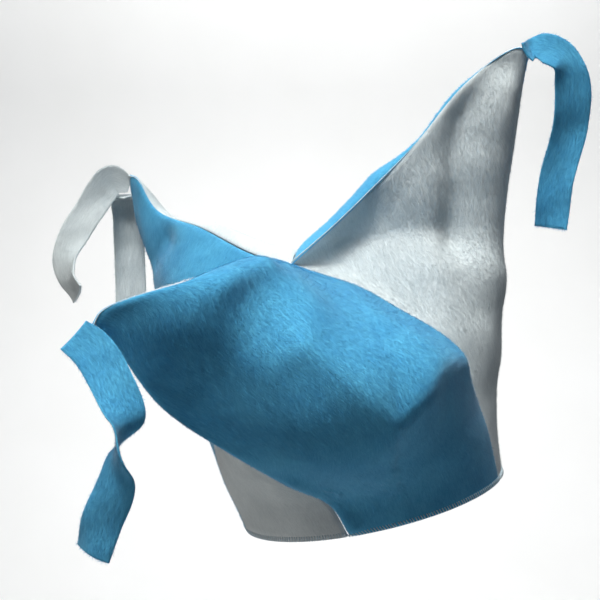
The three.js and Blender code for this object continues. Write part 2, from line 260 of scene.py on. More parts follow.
def spline(points: np.ndarray, times: np.ndarray, power: float) -> np.ndarray:
    """A smooth curve through points.

    Args:
        points: The points it passes, n by 3.
        times: Where to read it, from 0 at the first point to 1 at the last, the same step for each span.
        power: How its spans are timed, BY_ROOT_LENGTH or ALIKE.

    Returns:
        One point for each time.
    """
    ends = np.array([2 * points[0] - points[1], *points, 2 * points[-1] - points[-2]])
    knots = np.concatenate([[0], np.cumsum(np.linalg.norm(np.diff(ends, axis=0), axis=1) ** power)])
    place = np.clip(np.asarray(times) * (len(points) - 1), 0, len(points) - 1 - TINY)
    span = place.astype(int)
    t = knots[span + 1] + (place - span) * (knots[span + 2] - knots[span + 1])
    row = [ends[span + k] for k in range(4)]
    knot = [knots[span + k] for k in range(4)]
    for pairs in (((0, 1), (1, 2), (2, 3)), ((0, 2), (1, 3)), ((1, 2),)):
        shares = [((t - knot[low]) / (knot[high] - knot[low]))[:, None] for low, high in pairs]
        row = [row[k] * (1 - share) + row[k + 1] * share for k, share in enumerate(shares)]
    return row[0]


def brim_point(degrees: np.ndarray) -> np.ndarray:
    """Points of the upright hat's brim at headings in degrees."""
    angle = np.radians(degrees)
    return np.stack([BRIM_HALF_WIDTH * np.cos(angle), BRIM_HALF_DEPTH * np.sin(angle), 0 * angle], axis=-1)


def grid_normals(grid: np.ndarray, sense: float) -> np.ndarray:
    """The outward unit directions of a grid of points."""
    normals = unit(np.cross(np.gradient(grid, axis=0), np.gradient(grid, axis=1)) * sense)
    normals[-1, -1] = normals[-2, -2]
    return normals


def run_lengths(grid: np.ndarray, axis: int) -> np.ndarray:
    """The length run along a grid's lines from their first point."""
    steps = np.linalg.norm(np.diff(grid, axis=axis), axis=-1)
    return np.concatenate([np.zeros_like(np.take(steps, [0], axis)), np.cumsum(steps, axis)], axis)


@dataclass(frozen=True)
class Ripple:
    """A soft uneven swell of cloth, from a few crossing waves of about the same length."""

    height: float
    wave: float

    WAVES = 7
    WAVE_SPREAD = (0.7, 1.6)

    def at(self, points: np.ndarray, seed: int) -> np.ndarray:
        """How high the swell is at points, for a seed of its own."""
        rng = np.random.default_rng(seed)
        total = np.zeros(points.shape[:-1])
        for _ in range(self.WAVES):
            direction = unit(rng.normal(size=3))
            length = self.wave * rng.uniform(*self.WAVE_SPREAD)
            total += np.sin(points @ direction * 2 * math.pi / length + rng.uniform(0, 2 * math.pi))
        return self.height * total / math.sqrt(self.WAVES)


@dataclass(frozen=True)
class Seam:
    """A seam line through points, read by its share of length."""

    points: tuple[Point, ...]

    SAMPLES = 600

    def dense(self) -> tuple[np.ndarray, np.ndarray]:
        """Many points along the seam, and the length run at each."""
        line = spline(np.array(self.points, float), np.linspace(0, 1, self.SAMPLES), BY_ROOT_LENGTH)
        run = np.concatenate([[0], np.cumsum(np.linalg.norm(np.diff(line, axis=0), axis=1))])
        return line, run

    def at(self, share: np.ndarray) -> np.ndarray:
        """The points at shares of the seam's length."""
        line, run = self.dense()
        wanted = np.asarray(share, float) * run[-1]
        return np.stack([np.interp(wanted, run, line[:, k]) for k in range(3)], axis=-1)

    def length(self) -> float:
        """The seam's length."""
        return float(self.dense()[1][-1])


@dataclass(frozen=True)
class Horn:
    """One horn: where its under seam leaves the brim, its tip, where that points, and its two seams."""

    brim_deg: float
    tip: Point
    heading: float
    rise: float
    ridge_via: tuple[Point, ...]
    under_via: tuple[Point, ...]

    def tip_frame(self) -> tuple[np.ndarray, np.ndarray]:
        """The direction in which the tip points, and the one across it towards the ridge."""
        along = heading_vector(self.heading, self.rise)
        across = np.array(self.ridge_via[-1], float) - np.array(self.under_via[-1], float)
        return along, unit(across - along * (across @ along))

    def seam(self, start: np.ndarray, via: tuple[Point, ...], side: float) -> Seam:
        """A seam from its start to the tip, round the tip's blunt end on one side."""
        along, across = self.tip_frame()
        shoulder = np.array(self.tip) - TIP_RADIUS * along + side * TIP_RADIUS * across
        return Seam((tuple(start), *via, tuple(shoulder), self.tip))

    def ridge(self) -> Seam:
        """The seam along the horn's back, from the crown."""
        return self.seam(CROWN, self.ridge_via, 1.0)

    def under(self) -> Seam:
        """The seam along the horn's underside, from the brim."""
        return self.seam(brim_point(np.array(self.brim_deg)), self.under_via, -1.0)


@dataclass(frozen=True)
class Valley:
    """One valley seam, from the brim to the crown."""

    brim_deg: float
    via: tuple[Point, ...]

    def seam(self) -> Seam:
        """The seam's line."""
        return Seam((tuple(brim_point(np.array(self.brim_deg))), *self.via, tuple(CROWN)))


HORNS: dict[HornName, Horn] = {
    HornName.FRONT: Horn(
        brim_deg=257, tip=(-139, -150, 183), heading=215, rise=0,
        ridge_via=((-48, -70, 191), (-81, -130, 195)),
        under_via=((-30, -86, 28), (-64, -103, 61), (-114, -128, 121)),
    ),
    HornName.RIGHT: Horn(
        brim_deg=30, tip=(179, 15, 287), heading=0, rise=22,
        ridge_via=((20, 3, 200), (77, 8, 236), (130, 12, 276)),
        under_via=((97, 44, 60), (124, 40, 130), (154, 27, 220)),
    ),
    HornName.BACK: Horn(
        brim_deg=140, tip=(-136, 140, 267), heading=135, rise=65,
        ridge_via=((-47, 30, 190), (-82, 70, 215), (-118, 115, 236)),
        under_via=((-80, 72, 60), (-114, 112, 140), (-138, 140, 219)),
    ),
}
VALLEYS: dict[ValleyName, Valley] = {
    ValleyName.FRONT_RIGHT: Valley(-20, ((86, -42, 50), (69, -46, 102), (28, -24, 150))),
    ValleyName.RIGHT_BACK: Valley(85, ((10, 88, 60), (2, 64, 130), (-13, 24, 183))),
    ValleyName.BACK_FRONT: Valley(190, ((-102, -17, 60), (-80, -12, 130))),
}


@dataclass(frozen=True)
class Fold:
    """A fold over a panel, along points (u, v) from the valley to the under seam and from brim to ridge.

    A negative depth is a dent or crease. Its height fades over left to its left and right to its right, seen
    from outside along the fold.
    """

    line: tuple[tuple[float, float], ...]
    depth: float
    left: float
    right: float
    form: FoldForm = FoldForm.SOFT

    CREASE_ROUNDING = 0.1

    def height(self, away: np.ndarray, turn: np.ndarray) -> np.ndarray:
        """How far the fold lifts the cloth.

        Args:
            away: Distances from its line.
            turn: Which side they lie on, from 1 on the left to -1 on the right.

        Returns:
            The lift at each distance.
        """
        reach = away / (self.right + (self.left - self.right) * (1 + turn) / 2)
        sharp = np.hypot(reach, self.CREASE_ROUNDING) - self.CREASE_ROUNDING
        return self.depth * np.exp(-sharp if self.form is FoldForm.CREASE else -reach * reach)


@dataclass(frozen=True)
class FleeceFinish:
    """Brushed polyester fleece: a knitted ground under a short lying pile.

    The pile scatters light softly, so the eye gets a matt colour with a pale bloom at grazing angles, fine
    streaks along the nap and a mottle where it lies differently.
    """

    cloth: Cloth
    # root is the fleece's colour with painted shade, as between fibres that shadow each other; pile is its
    # colour with painted light, as on fibre tips in the light.
    root: str
    pile: str
    bloom: float

    # A streak stands for many fibres and is drawn coarser than one, to show at the photo's distance.
    STREAK_WIDTH = 1.1
    STREAK_LENGTH = 7.0
    STREAK_RELIEF = 0.6
    # The mottle is as wide as a finger stroke.
    MOTTLE = 22.0

    def shader(self, material: bpy.types.Material, colour: bpy.types.NodeSocket) -> bpy.types.Node:
        """Gives a material the fleece's own shader.

        Args:
            material: The material to finish.
            colour: The socket that gives its colour.

        Returns:
            The shader node.
        """
        return add_shader(
            material.node_tree, colour,
            {"Roughness": 0.95, "IOR": 1.5, "Specular IOR Level": 0.2, "Sheen Weight": self.bloom,
             "Sheen Roughness": 0.45},
        )

    def mottled(self, tree: bpy.types.NodeTree, share: bpy.types.NodeSocket) -> bpy.types.NodeSocket:
        """Blends the root colour, with its painted shade, and the pile colour, with its painted light, by a
        share, with a soft mottle.

        Args:
            tree: The material's node tree.
            share: The socket with the share of pile colour.

        Returns:
            The colour socket.
        """
        spread = add_node(
            tree, "ShaderNodeMapRange",
            {"From Min": 0.3, "From Max": 0.7, "To Min": -0.16, "To Max": 0.16},
            {"Value": add_patches(tree, self.MOTTLE, 3.0, 0.55)},
        )
        total = add_node(
            tree, "ShaderNodeMath", {"operation": "ADD", "use_clamp": True},
            {0: share, 1: spread.outputs["Result"]},
        )
        return add_blend(tree, total.outputs["Value"], self.root, self.pile)

    def ground_material(self) -> bpy.types.Material:
        """The knitted ground and the lower pile, streaked along the nap by the piece's own UV map from
        painted shade to painted light.
        """
        material = blank_material(f"brushed_fleece_{self.cloth.name.lower()}")
        tree = material.node_tree
        laid = add_node(tree, "ShaderNodeUVMap", {"uv_map": "nap"}, {})
        stretch = add_node(
            tree, "ShaderNodeMapping",
            {"Scale": (MM_PER_METRE / self.STREAK_WIDTH, MM_PER_METRE / self.STREAK_LENGTH, 1.0)},
            {"Vector": laid.outputs["UV"]},
        )
        streaks = add_node(
            tree, "ShaderNodeTexNoise", {"Scale": 1.0, "Detail": 4.0, "Roughness": 0.6, "Distortion": 0.4},
            {"Vector": stretch.outputs["Vector"]},
        )
        share = add_node(
            tree, "ShaderNodeMapRange",
            {"From Min": 0.28, "From Max": 0.72, "To Min": 0.3, "To Max": 1.0},
            {"Value": streaks.outputs["Fac"]},
        )
        shader = self.shader(material, self.mottled(tree, share.outputs["Result"]))
        bump = add_node(
            tree, "ShaderNodeBump", {"Strength": 0.5, "Distance": self.STREAK_RELIEF * MM},
            {"Height": streaks.outputs["Fac"]},
        )
        tree.links.new(bump.outputs["Normal"], shader.inputs["Normal"])
        return material

    def pile_material(self) -> bpy.types.Material:
        """The loose ends of the pile, each a little lighter or darker at random by its own attribute, which
        also paints light on its tip.
        """
        material = blank_material(f"fleece_pile_{self.cloth.name.lower()}")
        tree = material.node_tree
        # This share runs from the root colour's painted shade to the pile colour's painted light, and is
        # higher at each blade's tip, which is painted light.
        tone_and_tip_light = add_node(tree, "ShaderNodeAttribute", {"attribute_name": "tone_and_tip_light"}, {})
        self.shader(material, self.mottled(tree, tone_and_tip_light.outputs["Fac"]))
        return material


@dataclass(frozen=True)
class ThreadFinish:
    """Spun polyester sewing thread: matt, pale and slightly mottled, so that a stitch catches the light."""

    dark: str = "#9DBFD2"
    light: str = "#E3EEF3"

    PLY = 0.6

    def material(self) -> bpy.types.Material:
        """The thread's material, with its ply as pale and darker bands."""
        material = blank_material("spun_polyester_thread")
        tree = material.node_tree
        colour = add_blend(tree, add_patches(tree, self.PLY, 2.0), self.dark, self.light)
        add_shader(tree, colour, {"Roughness": 0.7, "IOR": 1.5, "Sheen Weight": 0.2})
        return material


@dataclass(frozen=True)
class BoardFinish:
    """Matt painted board: nearly white, so that the eye gets the photo's plain pale ground."""

    dark: str = "#F0F0EE"
    light: str = "#F7F7F6"

    ROLLER = 250.0

    def material(self) -> bpy.types.Material:
        """The board's material, with the faint unevenness of the roller."""
        material = blank_material("matt_painted_board")
        tree = material.node_tree
        colour = add_blend(tree, add_patches(tree, self.ROLLER, 2.0), self.dark, self.light)
        add_shader(tree, colour, {"Roughness": 0.9})
        return material


# Each root colour holds painted shade between the fibres, and each pile colour holds painted light on their
# tips.
FINISHES: dict[Cloth, FleeceFinish] = {
    Cloth.BLUE: FleeceFinish(Cloth.BLUE, root="#2E86BF", pile="#5FBBE2", bloom=0.25),
    Cloth.WHITE: FleeceFinish(Cloth.WHITE, root="#B4C0C5", pile="#DCE5E8", bloom=0.15),
}


def add_sheet(name: str, outer: np.ndarray, inner: np.ndarray, sense: float) -> bpy.types.Object:
    """Makes a sheet of cloth as a closed thin skin between an outer and an inner grid of points.

    Args:
        name: The object's name.
        outer: Its outer face in millimetres, in the row frame.
        inner: Its inner face, of the same shape.
        sense: 1 where the grid's own turn points outwards, and -1 where it points inwards.

    Returns:
        The sheet, with a UV map of its cloth laid flat.
    """
    out = np.arange(outer[..., 0].size).reshape(outer.shape[:2])
    back = out + out.size
    faces = np.concatenate([
        np.stack([out[:-1, :-1], out[1:, :-1], out[1:, 1:], out[:-1, 1:]], -1).reshape(-1, 4),
        np.stack([back[:-1, :-1], back[:-1, 1:], back[1:, 1:], back[1:, :-1]], -1).reshape(-1, 4),
        np.stack([back[:-1, 0], back[1:, 0], out[1:, 0], out[:-1, 0]], -1),
        np.stack([out[:-1, -1], out[1:, -1], back[1:, -1], back[:-1, -1]], -1),
        np.stack([out[0, :-1], out[0, 1:], back[0, 1:], back[0, :-1]], -1),
        np.stack([back[-1, :-1], back[-1, 1:], out[-1, 1:], out[-1, :-1]], -1),
    ])
    if sense < 0:
        faces = faces[:, ::-1]
    mesh = smooth_mesh(name, np.concatenate([outer.reshape(-1, 3), inner.reshape(-1, 3)]), faces)
    across, along = run_lengths(outer, 0), run_lengths(outer, 1)
    laid = np.stack([across - across[-1:] / 2, along], -1).reshape(-1, 2) * MM
    laid = np.concatenate([laid, laid])
    corners = np.empty(len(mesh.loops), dtype=np.int32)
    mesh.loops.foreach_get("vertex_index", corners)
    mesh.uv_layers.new(name="nap").data.foreach_set("uv", laid[corners].ravel())
    return add_object(name, mesh)


@dataclass(frozen=True)
class Pile:
    """The loose ends of the fleece's pile: slim blades that lie along the nap.

    A blade stands for a tuft. It is drawn coarser than a fibre and sown thinner, to keep the hat within its
    triangles while the nap still shows at the photo's distance.
    """

    per_mm2: float = 2.2
    length: float = 2.4
    width: float = 0.22
    lift_deg: float = 18.0
    lift_scatter_deg: float = 12.0
    stray_deg: float = 32.0

    LENGTH_SPREAD = (0.55, 1.2)
    TONE = 0.62
    TONE_SCATTER = 0.13
    # Painted light: the tip of each blade is paler, as where it stands in the light.
    PAINTED_TIP_LIGHT = 0.15

    def build(
        self, name: str, face: np.ndarray, normals: np.ndarray, seed: int, bare: float = 0.0,
    ) -> bpy.types.Object:
        """Sows the blades over a face.

        Args:
            name: The new object's name.
            face: A grid of points in millimetres, whose second direction runs against the nap.
            normals: The outward directions there.
            seed: The seed of the sowing.
            bare: How far from the grid's first edge no blade has its root.

        Returns:
            The pile as one object.
        """
        rng = np.random.default_rng(seed)
        along = np.diff(face, axis=1)[:-1]
        areas = np.linalg.norm(np.cross(np.diff(face, axis=0)[:, :-1], along), axis=-1)
        areas = areas * (run_lengths(face, 1)[:-1, :-1] >= bare)
        count = int(areas.sum() * self.per_mm2)
        cell = rng.choice(areas.size, size=count, p=areas.ravel() / areas.sum())
        i, j = np.unravel_index(cell, areas.shape)
        a, b = rng.uniform(size=(2, count, 1))

        def read(grid: np.ndarray) -> np.ndarray:
            """The grid's values at the blades' roots."""
            low = grid[i, j] * (1 - a) + grid[i + 1, j] * a
            high = grid[i, j + 1] * (1 - a) + grid[i + 1, j + 1] * a
            return low * (1 - b) + high * b

        root, up = read(face), unit(read(normals))
        nap = -along[i, j]
        nap = unit(nap - up * np.sum(nap * up, -1, keepdims=True))
        side = np.cross(up, nap)
        stray = np.radians(rng.normal(0, self.stray_deg, (count, 1)))
        lift = np.radians(np.abs(rng.normal(self.lift_deg, self.lift_scatter_deg, (count, 1))))
        flow = nap * np.cos(stray) + side * np.sin(stray)
        blade = flow * np.cos(lift) + up * np.sin(lift)
        half = np.cross(up, flow) * self.width / 2
        tip = root + blade * self.length * rng.uniform(*self.LENGTH_SPREAD, (count, 1))
        points = np.stack([root - half, tip, root + half], 1).reshape(-1, 3)
        mesh = smooth_mesh(name, points, np.arange(3 * count).reshape(-1, 3))
        tone_and_tip_light = np.repeat(np.clip(rng.normal(self.TONE, self.TONE_SCATTER, count), 0, 1), 3)
        # Each blade's random share gets painted light at its tip.
        tone_and_tip_light[1::3] = np.minimum(tone_and_tip_light[1::3] + self.PAINTED_TIP_LIGHT, 1)
        mesh.attributes.new("tone_and_tip_light", "FLOAT", "POINT").data.foreach_set("value", tone_and_tip_light.astype(np.float32))
        mesh.normals_split_custom_set_from_vertices(np.repeat(up, 3, axis=0).tolist())
        return add_object(name, mesh)


@dataclass
class FleecePanel:
    """One sewn panel of the hat, between a valley and its horn's ridge and under seams.

    It swells by swell, and reaches its full height at the share full_at from brim to ridge. Its flat size and
    area are those of the cloth it is cut from, in metres.
    """

    node: str
    cloth: Cloth
    horn: HornName
    valley: ValleyName
    swell: float
    full_at: float
    flat: tuple[float, float]
    flat_area: float
    folds: tuple[Fold, ...] = ()
    pieces: list[bpy.types.Object] = field(default_factory=list)
    brim: tuple[np.ndarray, ...] = ()

    STEPS = 88
    # How strongly the grid's lines crowd towards the seams, from 0 to 1.
    CROWDING = 0.7
    # Shares of the panel: where it is fully swollen, and over which its folds die away at its edges.
    FULL_ACROSS = 0.5
    FOLD_FADE = 0.1
    RIPPLE = Ripple(height=0.45, wave=42.0)
    # The dip along a seam, which is full only where the panel is this wide.
    SEAM_DIP = 0.8
    SEAM_DIP_WIDTH = 2.6
    DIP_NEEDS = 30.0
    # The wall's share of its thickness at a seam, over which width it thickens, the share of the room
    # between two panels that one wall may fill, and the thinnest wall.
    SEWN_SHARE = 0.3
    SEWN_WIDTH = 4.0
    ROOM_SHARE = 0.36
    THINNEST = 0.15
    # The strip at the brim that the stitches keep free of nap, and the grid row that shows where up is.
    BARE_BRIM = 6.2
    RISE_ROW = 4

    def span(self) -> tuple[float, float, float]:
        """The brim heading at the valley, the sweep to the horn's seam, and the sense of that sweep."""
        start = VALLEYS[self.valley].brim_deg
        sweep = (HORNS[self.horn].brim_deg - start + 180) % 360 - 180
        return start, sweep, math.copysign(1.0, sweep)

    def patch(self, u: np.ndarray, v: np.ndarray) -> np.ndarray:
        """The unswollen panel, stretched between its brim, two seams and ridge.

        Args:
            u: Shares from the valley to the under seam.
            v: Shares from the brim to the ridge.

        Returns:
            A point for each u and v.
        """
        start, sweep, _ = self.span()
        horn = HORNS[self.horn]
        u1, v1 = u[..., None], v[..., None]
        sides = VALLEYS[self.valley].seam().at(v) * (1 - u1) + horn.under().at(v) * u1
        ends = brim_point(start + sweep * u) * (1 - v1) + horn.ridge().at(u) * v1
        low = brim_point(np.array(start)) * (1 - u1) + brim_point(np.array(start + sweep)) * u1
        high = CROWN * (1 - u1) + np.array(horn.tip) * u1
        return sides + ends - low * (1 - v1) - high * v1

    def fold_lift(self, points: np.ndarray, normals: np.ndarray) -> np.ndarray:
        """How far the folds lift or sink the patch at its points."""
        total = np.zeros(points.shape[:-1])
        for fold in self.folds:
            line = np.array(fold.line)
            line = self.patch(line[:, 0], line[:, 1])
            best = np.full(points.shape[:-1], np.inf)
            turn = np.zeros_like(best)
            for start, end in zip(line[:-1], line[1:]):
                step = end - start
                share = np.clip((points - start) @ step / (step @ step), 0, 1)
                away = points - start - share[..., None] * step
                distance = np.linalg.norm(away, axis=-1)
                nearer = distance < best
                best = np.where(nearer, distance, best)
                side = np.sum(np.cross(unit(step), away) * normals, -1) / np.maximum(distance, TINY)
                turn = np.where(nearer, side, turn)
            total += fold.height(best, turn)
        return total

    def face(self) -> tuple[np.ndarray, np.ndarray]:
        """The outer face in the upright hat, with its swelling, folds and ripple.

        Returns:
            A grid of points and their distances from the nearest seam.
        """
        even = np.linspace(0, 1, self.STEPS + 1)
        share = even - self.CROWDING * np.sin(2 * math.pi * even) / (2 * math.pi)
        u, v = np.meshgrid(share, share, indexing="ij")
        patch = self.patch(u, v)
        normals = grid_normals(patch, self.span()[2])
        rounded = np.sqrt((1 - u * u) * (1 - v * v))
        swelling = self.swell * rounded
        swelling = swelling * smoothstep(u, 0, self.FULL_ACROSS) * smoothstep(v, 0, self.full_at)
        nearest = np.minimum(np.minimum(u, v), np.minimum(1 - u, 1 - v)) / self.FOLD_FADE
        fade = np.sqrt(np.clip(nearest, 0, 1) * (2 - np.clip(nearest, 0, 1)))
        lift = swelling + fade * self.fold_lift(patch, normals)
        lift += fade * self.RIPPLE.at(patch, SEED)
        face = patch + normals * lift[..., None]
        across, along = run_lengths(face, 0), run_lengths(face, 1)
        seam = np.minimum(np.minimum(across, across[-1:] - across), along[:, -1:] - along)
        dip = self.SEAM_DIP * np.exp(-((seam / self.SEAM_DIP_WIDTH) ** 2))
        dip *= smoothstep(across[-1:], 0, self.DIP_NEEDS) * smoothstep(along[:, -1:], 0, self.DIP_NEEDS)
        face -= grid_normals(face, self.span()[2]) * dip[..., None]
        return face, seam

    def build(self, twin: "FleecePanel", pile: Pile) -> None:
        """Makes the panel's sheet and its pile.

        Args:
            twin: The other panel of the same horn, which leaves the walls less room near the tip.
            pile: How the nap is sown.
        """
        upright, seam = self.face()
        sense = self.span()[2]
        room = np.linalg.norm(upright - twin.face()[0], axis=-1)
        for edge, inside in ((np.s_[0], np.s_[1]), (np.s_[-1], np.s_[-2]), (np.s_[:, -1], np.s_[:, -2])):
            upright[edge] += unit(upright[inside] - upright[edge]) * SEAM_GAP / 2
        outer = worn(upright)
        normals = grid_normals(outer, sense)
        wall = FLEECE * (self.SEWN_SHARE + (1 - self.SEWN_SHARE) * smoothstep(seam, 0, self.SEWN_WIDTH))
        wall = np.minimum(wall, np.maximum(self.ROOM_SHARE * room, self.THINNEST))
        inner = outer - normals * wall[..., None]
        self.brim = outer[:, 0], inner[:, 0], outer[:, self.RISE_ROW] - outer[:, 0]
        sheet = add_sheet(f"{self.node}_cloth", outer, inner, sense)
        sheet.data.materials.append(FINISHES[self.cloth].ground_material())
        self.pieces = [sheet]
        nap = pile.build(f"{self.node}_pile", outer, normals, SEED + len(self.node), self.BARE_BRIM)
        nap.data.materials.append(FINISHES[self.cloth].pile_material())
        self.pieces.append(nap)

    def dress(self) -> None:
        """Puts the panel in its solid's place."""
        for piece in self.pieces:
            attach(piece, "root")
        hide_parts(self.node)
        LOG.info("%s: %d pieces", self.node, len(self.pieces))


@dataclass(frozen=True)
class RibbonStep:
    """A point of a ribbon's middle line from its horn's tip, and where its width points there."""

    x: float
    y: float
    z: float
    turn: float
    lean: float

    def place(self, tip: np.ndarray) -> np.ndarray:
        """The point, for a horn's tip."""
        return np.array([self.x, self.y, self.z]) + tip

    def half_width(self) -> np.ndarray:
        """The way from the middle line to the ribbon's edge."""
        return heading_vector(self.turn, self.lean) * FleeceRibbon.WIDTH / 2


@dataclass
class FleeceRibbon:
    """A strip of fleece that hangs from the tip of a horn.

    It is sewn in on the under seam, below millimetres before the tip, and stays clear millimetres off it.
    There it is gathered to the share neck of its width, and its middle is shifted by the share hold of half
    that width. With a lap, its end runs on over the tip.
    """

    node: str
    cloth: Cloth
    horn: HornName
    below: float
    clear: float
    hold: float
    neck: float
    length: float
    steps: tuple[RibbonStep, ...]
    lap: RibbonStep | None = None
    pieces: list[bpy.types.Object] = field(default_factory=list)

    WIDTH = 25.0
    CUP = 1.5
    EDGE_ROUNDING = 0.7
    ACROSS = 14
    ALONG = 110
    RIPPLE = Ripple(height=0.7, wave=30.0)
    # Shares of the length between which the ripple grows to its full height.
    RIPPLE_GROWS = (0.1, 0.3)

    def root(self) -> np.ndarray:
        """Where the ribbon is sewn in, a seam's gap clear of its horn."""
        horn = HORNS[self.horn]
        along, across = horn.tip_frame()
        under = horn.under()
        root = under.at(np.array(1 - self.below / under.length()))
        return worn(root + self.clear * (-across if self.below > 0 else along))

    def build(self, pile: Pile) -> None:
        """Makes the ribbon's sheet and its pile on both faces.

        Args:
            pile: How the nap is sown.
        """
        tip = worn(np.array(HORNS[self.horn].tip, float))
        half = [step.half_width() for step in self.steps]
        half.insert(0, half[0] * self.neck)
        points = [step.place(tip) for step in self.steps]
        points.insert(0, self.root() - self.hold * half[0])
        if self.lap:
            half.insert(0, self.lap.half_width() * self.neck)
            points.insert(0, self.lap.place(tip))
        times = np.linspace(0, 1, self.ALONG + 1)
        middle = spline(np.array(points), times, BY_ROOT_LENGTH)
        width = spline(np.array(half), times, ALIKE)
        tangent = unit(np.gradient(middle, axis=0))
        size = np.linalg.norm(width, axis=1, keepdims=True)
        across = unit(width - tangent * np.sum(width * tangent, 1, keepdims=True)) * size
        facing = unit(np.cross(across, tangent))
        side = np.linspace(-1, 1, self.ACROSS + 1)[:, None, None]
        sheet = middle + across * side + facing * self.CUP * (1 - side**2)
        wave = self.RIPPLE.at(sheet, SEED + len(self.node)) * smoothstep(times, *self.RIPPLE_GROWS)
        sheet = sheet + facing * wave[..., None]
        wall = FLEECE / 2 * np.sqrt(1 - self.EDGE_ROUNDING * side**2)
        outer, inner = sheet + facing * wall, sheet - facing * wall
        cloth = add_sheet(f"{self.node}_cloth", outer, inner, 1.0)
        cloth.data.materials.append(FINISHES[self.cloth].ground_material())
        self.pieces = [cloth]
        for name, grid, sense in (("face", outer, 1.0), ("back", inner, -1.0)):
            turned = grid[:, ::-1]
            nap = pile.build(f"{self.node}_pile_{name}", turned, grid_normals(turned, -sense), SEED)
            nap.data.materials.append(FINISHES[self.cloth].pile_material())
            self.pieces.append(nap)

    def dress(self) -> None:
        """Puts the ribbon in its solid's place."""
        for piece in self.pieces:
            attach(piece, "root")
        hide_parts(self.node)
        LOG.info("%s: %d pieces", self.node, len(self.pieces))


@dataclass
class BrimStitching:
    """The overlock stitches over the raw edge of the brim: loops of thread side by side.

    The thread is drawn coarser than a real one, to show at the photo's distance.
    """

    spacing: float = 2.0
    thread_radius: float = 0.36
    leg: float = 4.0
    slant: float = 0.8
    piece: bpy.types.Object | None = None

    THREAD_SIDES = 5
    BEND_STEPS = 4
    WELD = 0.01
    UNEVEN_PLACE = 0.2
    UNEVEN_SLANT = (0.7, 1.3)

    def one_stitch(self) -> tuple[np.ndarray, np.ndarray]:
        """Models one loop of thread that straddles an edge along X and is open upwards.

        Returns:
            Its points in millimetres and its faces.
        """
        bpy.ops.object.select_all(action="DESELECT")
        reach = (FLEECE / 2 + self.thread_radius / 2) * MM
        bpy.ops.mesh.primitive_circle_add(
            vertices=self.THREAD_SIDES, radius=self.thread_radius * MM, location=(0, -reach, 0),
            fill_type="NOTHING",
        )
        stitch = bpy.context.object
        bpy.ops.object.transform_apply(location=True, rotation=True, scale=True)
        bpy.ops.object.mode_set(mode="EDIT")
        bpy.ops.mesh.select_all(action="SELECT")
        bpy.ops.mesh.spin(steps=self.BEND_STEPS, angle=math.pi, center=(0, 0, 0), axis=(1, 0, 0))
        bpy.ops.mesh.select_all(action="DESELECT")
        bpy.ops.mesh.select_mode(type="EDGE")
        bpy.ops.mesh.select_non_manifold()
        bpy.ops.mesh.extrude_region_move(TRANSFORM_OT_translate={"value": (0, 0, self.leg * MM)})
        bpy.ops.mesh.select_all(action="SELECT")
        bpy.ops.mesh.remove_doubles(threshold=self.WELD * MM)
        bpy.ops.mesh.fill_holes(sides=0)
        bpy.ops.mesh.select_all(action="SELECT")
        bpy.ops.mesh.quads_convert_to_tris()
        bpy.ops.mesh.normals_make_consistent(inside=False)
        bpy.ops.object.mode_set(mode="OBJECT")
        points = np.array([vertex.co for vertex in stitch.data.vertices]) / MM
        faces = np.array([face.vertices for face in stitch.data.polygons])
        bpy.data.objects.remove(stitch)
        return points, faces

    def build(self, panels: list[FleecePanel]) -> None:
        """Copies the loop along the brim of every panel, as one piece.

        Args:
            panels: The hat's panels, already built.
        """
        shape, loop = self.one_stitch()
        rng = np.random.default_rng(SEED)
        points, faces = [], []
        for panel in panels:
            outer, inner, up = panel.brim
            run = run_lengths(outer[:, None], 0)[:, 0]
            places = np.arange(self.spacing, run[-1] - self.spacing / 2, self.spacing)
            places = places + rng.uniform(-self.UNEVEN_PLACE, self.UNEVEN_PLACE, places.size)
            tangent = unit(np.gradient(outer, axis=0))
            rows = [np.stack([np.interp(places, run, a[:, k]) for k in range(3)], -1)
                    for a in (outer, inner, up, tangent)]
            for edge, back, rise, along in zip(*rows):
                out, rise = unit(edge - back), unit(rise)
                lean = self.slant * rng.uniform(*self.UNEVEN_SLANT) * shape[:, 2] / self.leg
                local = shape[:, :1] + lean[:, None]
                placed = (edge + back) / 2 + local * along + shape[:, 1:2] * out + shape[:, 2:] * rise
                faces.append(loop + len(points) * len(shape))
                points.append(placed)
        mesh = smooth_mesh("brim_stitches", np.concatenate(points), np.concatenate(faces))
        mesh.materials.append(ThreadFinish().material())
        self.piece = add_object("brim_stitches", mesh)

    def dress(self) -> None:
        """Sews the stitches to the hat."""
        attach(self.piece, "root")
        LOG.info("brim stitches: %d triangles", len(self.piece.data.polygons))


@dataclass(frozen=True)
class SoftBox:
    """A square soft light: where it stands, the point it faces, its side, power, colour and angle."""

    name: str
    at: Point
    aim: Point
    side: float
    watts: float
    colour: str
    spread_deg: float

    def build(self) -> None:
        """Makes the light."""
        light = bpy.data.lights.new(self.name, "AREA")
        light.energy, light.size, light.color = self.watts, self.side, linear(self.colour)[:3]
        light.spread = math.radians(self.spread_deg)
        lamp = add_object(self.name, light)
        lamp.location = self.at
        towards = Vector(self.aim) - Vector(self.at)
        lamp.rotation_euler = towards.to_track_quat("-Z", "Y").to_euler()


# A narrow key from above, a little left of the hat, models the folds. A warm low fill from the left lifts
# the shaded undersides, and the backdrop's own light keeps the ground behind the hat pale.
LIGHTS = (
    SoftBox("key", (-0.26, -0.52, 1.75), (0, 0, 0.15), 0.8, 4.1, "#FFFDF8", 42),
    SoftBox("low_fill", (-1.5, -0.7, 0), (-0.1, 0, 0.05), 0.8, 0.7, "#FFEFE0", 60),
    SoftBox("backdrop", (0, 1.5, 2.6), (0, 2.5, 0.2), 1.6, 55, "#FFFFFF", 120),
)


